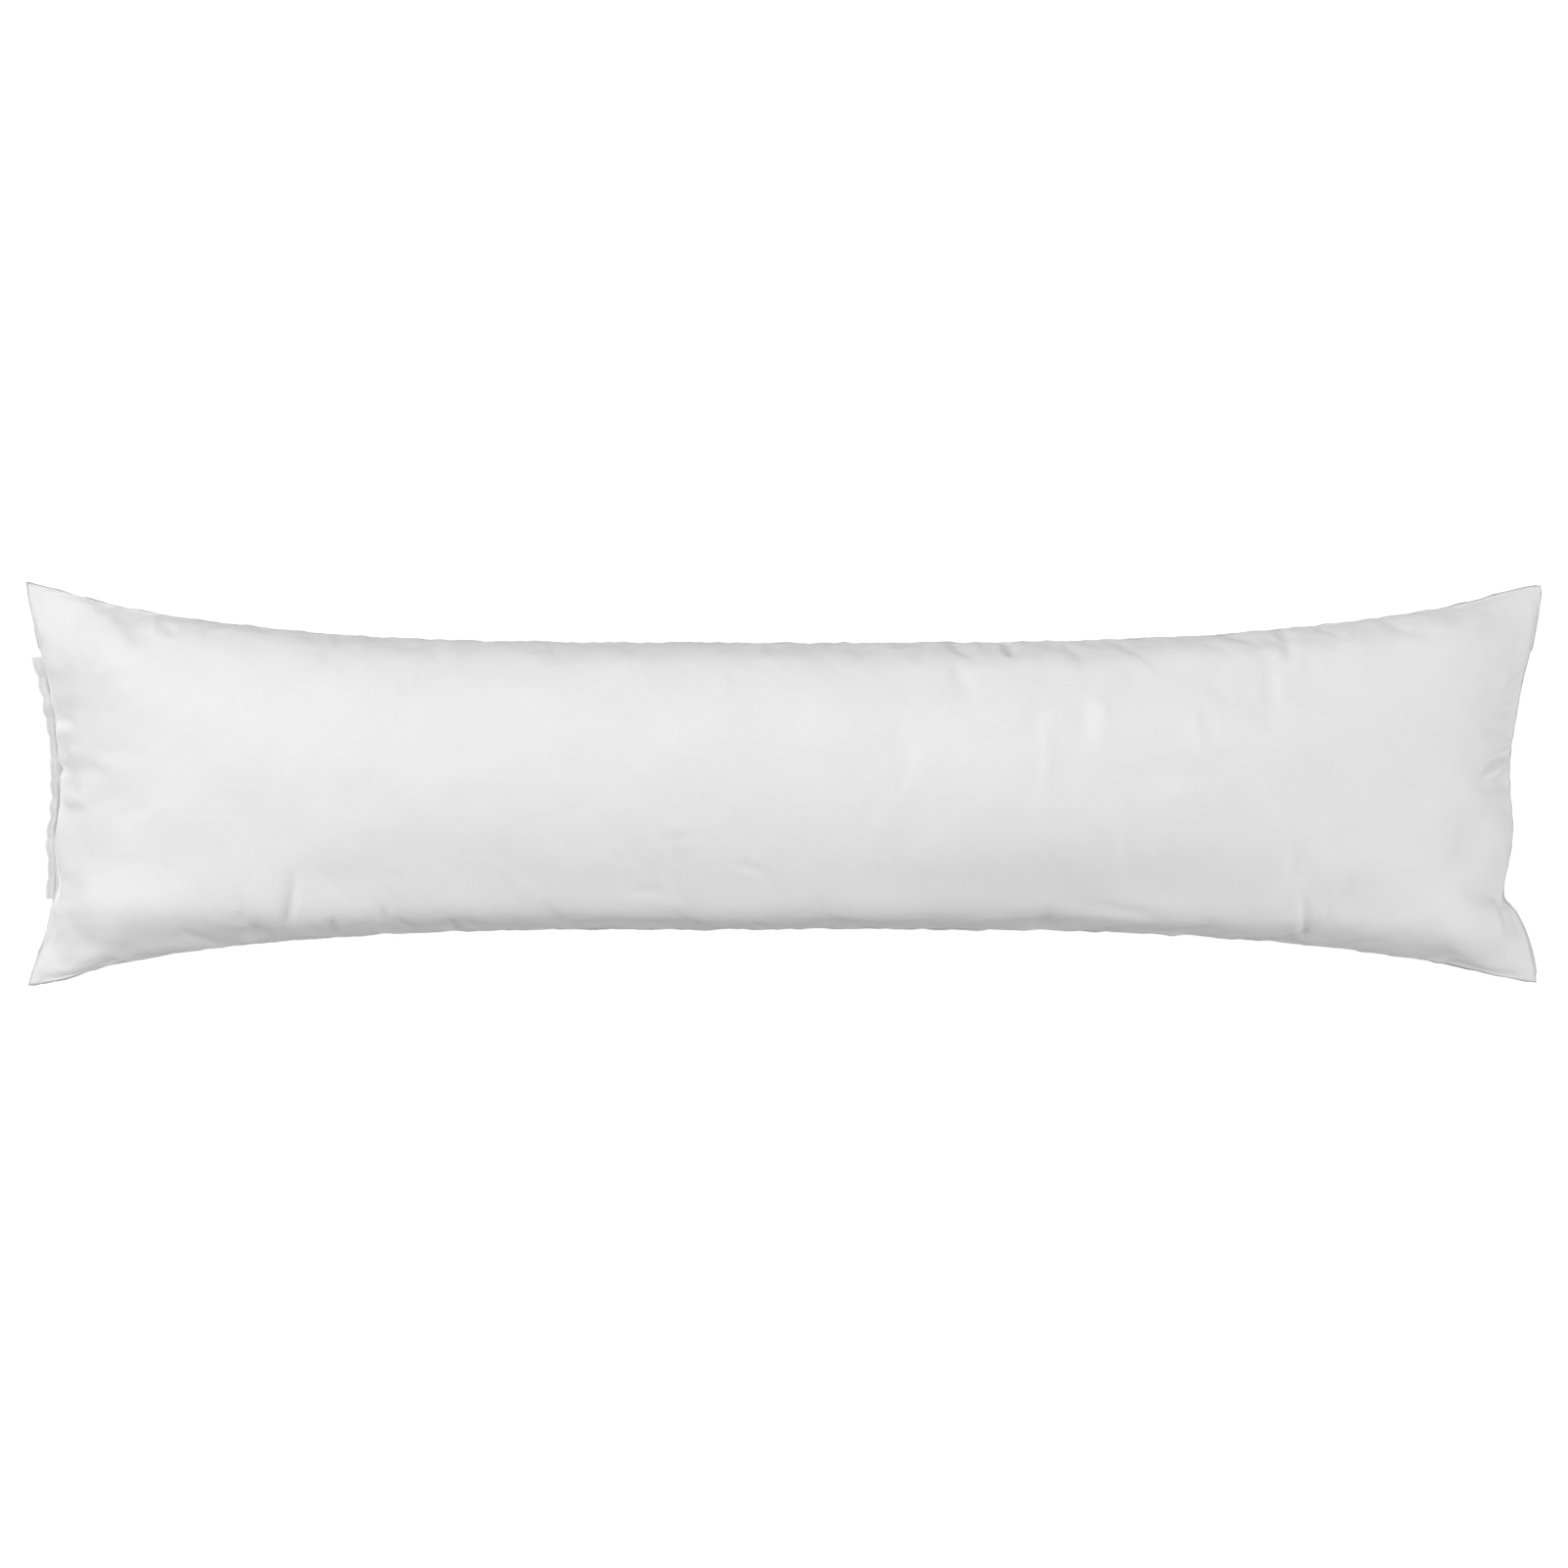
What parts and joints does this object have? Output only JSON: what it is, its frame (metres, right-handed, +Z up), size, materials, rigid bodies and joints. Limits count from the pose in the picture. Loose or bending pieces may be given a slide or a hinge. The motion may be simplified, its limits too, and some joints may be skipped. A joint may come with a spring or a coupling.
{
  "type": "filled bench cushion",
  "caption": "Long filled bench cushion with pointed corners and drawn-in sides, white cloth case closed by a stitched strip at one end.",
  "frame": {"origin": "middle of the cushion's length and width, on the surface that it lies on", "axes": "+X along the cushion, away from the closing strip; +Y across it; +Z up, out of the face that shows"},
  "size_m": [1.48, 0.394, 0.2123],
  "materials": {
    "casing_cloth": "smooth close weave with a soft satin sheen",
    "strip_cloth": "the same cloth, turned in and topstitched"
  },
  "bodies": {
    "root": {"filled_casing": "casing_cloth", "closing_strip": "strip_cloth"}
  },
  "joints": []
}
